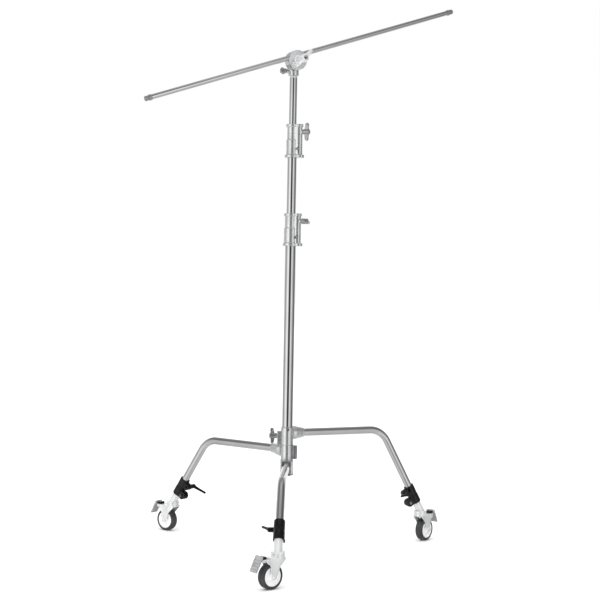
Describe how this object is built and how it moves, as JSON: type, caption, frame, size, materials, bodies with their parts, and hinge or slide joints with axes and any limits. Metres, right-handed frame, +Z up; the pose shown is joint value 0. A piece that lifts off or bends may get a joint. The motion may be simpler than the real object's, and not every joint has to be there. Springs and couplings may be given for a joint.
{
  "type": "c stand",
  "caption": "Rolling light and grip stand: folding three-leg base on swivel casters, telescoping column with T-handle collars, grip head and a long round arm.",
  "frame": {"origin": "foot of the bounding box centre, on the floor", "axes": "+Z up; +X to the right and +Y away from the viewing side; the column stands parallel to Z, 27 mm from the origin along -X and 97 mm along +Y"},
  "size_m": [1.0152, 0.9428, 1.8149],
  "materials": {
    "chrome": "polished chrome-plated tube",
    "cast": "satin nickel-plated casting",
    "zinc": "bright zinc plate",
    "steel": "dark steel",
    "black": "semi-matte black powder coat",
    "rubber": "dark grey rubber",
    "white": "white moulded plastic",
    "grey": "ribbed grey pedal"
  },
  "bodies": {
    "stand": {"base_socket": "cast", "socket_screw": "steel", "hub_post": "steel", "hub_nut": "steel", "base_column": "chrome", "lower_collar": "cast", "lower_collar_screw": "steel", "leg_right": "chrome", "clamp_right": "black", "clamp_bolt_right": "steel", "caster_stem_right": "zinc"},
    "middle_leg": {"middle_sleeve": "cast", "fold_lock_housing": "steel", "leg_left": "chrome", "clamp_left": "black", "clamp_bolt_left": "steel", "caster_stem_left": "zinc"},
    "bottom_leg": {"bottom_sleeve": "cast", "leg_front": "chrome", "clamp_front": "black", "clamp_bolt_front": "steel", "caster_stem_front": "zinc"},
    "column_lock": {"column_lock_handle": "cast"},
    "lower_handle": {"lower_collar_handle": "cast"},
    "riser_1": {"middle_riser": "chrome", "upper_collar": "cast", "upper_collar_screw": "steel"},
    "upper_handle": {"upper_collar_handle": "cast"},
    "riser_2": {"top_riser": "chrome", "top_stud": "zinc"},
    "grip_head": {"grip_body": "cast"},
    "stud_lock": {"stud_lock_handle": "cast"},
    "grip_jaws": {"grip_rear_jaw": "cast", "grip_front_jaw": "cast", "grip_bolt": "steel"},
    "grip_screw": {"grip_handle": "cast"},
    "arm": {"arm_tube": "chrome", "arm_end_left": "zinc", "arm_end_right": "zinc"},
    "lever_right": {"ratchet_lever_right": "black"},
    "caster_right": {"fork_right": "zinc", "axle_right": "steel"},
    "wheel_right": {"wheel_hub_right": "white", "tyre_right": "rubber"},
    "brake_right": {"brake_pedal_right": "grey"},
    "lever_left": {"ratchet_lever_left": "black"},
    "caster_left": {"fork_left": "zinc", "axle_left": "steel"},
    "wheel_left": {"wheel_hub_left": "white", "tyre_left": "rubber"},
    "brake_left": {"brake_pedal_left": "grey"},
    "lever_front": {"ratchet_lever_front": "black"},
    "caster_front": {"fork_front": "zinc", "axle_front": "steel"},
    "wheel_front": {"wheel_hub_front": "white", "tyre_front": "rubber"},
    "brake_front": {"brake_pedal_front": "grey"}
  },
  "joints": [
    {"name": "middle_leg_fold", "type": "hinge", "parent": "stand", "child": "middle_leg", "pos_m": [-0.027, 0.097, 0.347], "axis": [0, 0, 1], "range_deg": [-88, 4]},
    {"name": "bottom_leg_fold", "type": "hinge", "parent": "stand", "child": "bottom_leg", "pos_m": [-0.027, 0.097, 0.299], "axis": [0, 0, 1], "range_deg": [-4, 86]},
    {"name": "column_lock_turn", "type": "hinge", "parent": "stand", "child": "column_lock", "pos_m": [-0.027, 0.097, 0.377], "axis": [-0.9903, -0.1392, 0], "range_deg": [-90, 30]},
    {"name": "lower_collar_turn", "type": "hinge", "parent": "stand", "child": "lower_handle", "pos_m": [-0.027, 0.097, 1.072], "axis": [0.9272, -0.3746, 0], "range_deg": [-90, 30]},
    {"name": "middle_riser_slide", "type": "slide", "parent": "stand", "child": "riser_1", "axis": [0, 0, 1], "range_m": [-0.165, 0.4]},
    {"name": "upper_collar_turn", "type": "hinge", "parent": "riser_1", "child": "upper_handle", "pos_m": [-0.027, 0.097, 1.36], "axis": [0.9272, -0.3746, 0], "range_deg": [-90, 30]},
    {"name": "top_riser_slide", "type": "slide", "parent": "riser_1", "child": "riser_2", "axis": [0, 0, 1], "range_m": [-0.14, 0.5]},
    {"name": "grip_head_turn", "type": "hinge", "parent": "riser_2", "child": "grip_head", "pos_m": [-0.027, 0.097, 1.589], "axis": [0, 0, 1], "continuous": true},
    {"name": "stud_lock_turn", "type": "hinge", "parent": "grip_head", "child": "stud_lock", "pos_m": [-0.027, 0.097, 1.557], "axis": [-0.9945, -0.1045, 0], "range_deg": [-90, 30]},
    {"name": "grip_tilt", "type": "hinge", "parent": "grip_head", "child": "grip_jaws", "pos_m": [-0.01779, 0.07812, 1.589], "axis": [0.4384, -0.8988, 0], "range_deg": [-79, 41]},
    {"name": "grip_screw_turn", "type": "hinge", "parent": "grip_jaws", "child": "grip_screw", "pos_m": [-0.00508, 0.05206, 1.589], "axis": [0.4384, -0.8988, 0], "range_deg": [-60, 60]},
    {"name": "arm_slide", "type": "slide", "parent": "grip_jaws", "child": "arm", "axis": [0.8488, 0.414, 0.3289], "range_m": [-0.45, 0.4]},
    {"name": "lever_right_turn", "type": "hinge", "parent": "stand", "child": "lever_right", "pos_m": [0.37373, 0.27374, 0.16672], "axis": [0.4035, -0.915, 0], "range_deg": [-40, 40]},
    {"name": "caster_right_swivel", "type": "hinge", "parent": "stand", "child": "caster_right", "pos_m": [0.43048, 0.29877, 0.105], "axis": [0, 0, 1], "continuous": true},
    {"name": "wheel_right_spin", "type": "hinge", "parent": "caster_right", "child": "wheel_right", "pos_m": [0.44714, 0.32002, 0.0375], "axis": [-0.7869, 0.617, 0], "continuous": true},
    {"name": "brake_right_press", "type": "hinge", "parent": "caster_right", "child": "brake_right", "pos_m": [0.45886, 0.33497, 0.084], "axis": [-0.7869, 0.617, 0], "range_deg": [0, 14]},
    {"name": "lever_left_turn", "type": "hinge", "parent": "middle_leg", "child": "lever_left", "pos_m": [-0.3668, 0.3644, 0.16056], "axis": [0.6184, 0.7859, 0], "range_deg": [-40, 40]},
    {"name": "caster_left_swivel", "type": "hinge", "parent": "middle_leg", "child": "caster_left", "pos_m": [-0.41993, 0.4062, 0.105], "axis": [0, 0, 1], "continuous": true},
    {"name": "wheel_left_spin", "type": "hinge", "parent": "caster_left", "child": "wheel_left", "pos_m": [-0.44177, 0.42207, 0.0375], "axis": [-0.5878, -0.809, 0], "continuous": true},
    {"name": "brake_left_press", "type": "hinge", "parent": "caster_left", "child": "brake_left", "pos_m": [-0.45714, 0.43324, 0.084], "axis": [-0.5878, -0.809, 0], "range_deg": [0, 14]},
    {"name": "lever_front_turn", "type": "hinge", "parent": "bottom_leg", "child": "lever_front", "pos_m": [-0.0441, -0.32875, 0.15185], "axis": [-0.9992, 0.0401, 0], "range_deg": [-40, 40]},
    {"name": "caster_front_swivel", "type": "hinge", "parent": "bottom_leg", "child": "caster_front", "pos_m": [-0.04707, -0.4026, 0.105], "axis": [0, 0, 1], "continuous": true},
    {"name": "wheel_front_spin", "type": "hinge", "parent": "caster_front", "child": "wheel_front", "pos_m": [-0.06814, -0.41948, 0.0375], "axis": [0.6252, -0.7804, 0], "continuous": true},
    {"name": "brake_front_press", "type": "hinge", "parent": "caster_front", "child": "brake_front", "pos_m": [-0.08297, -0.43136, 0.084], "axis": [0.6252, -0.7804, 0], "range_deg": [0, 14]}
  ]
}
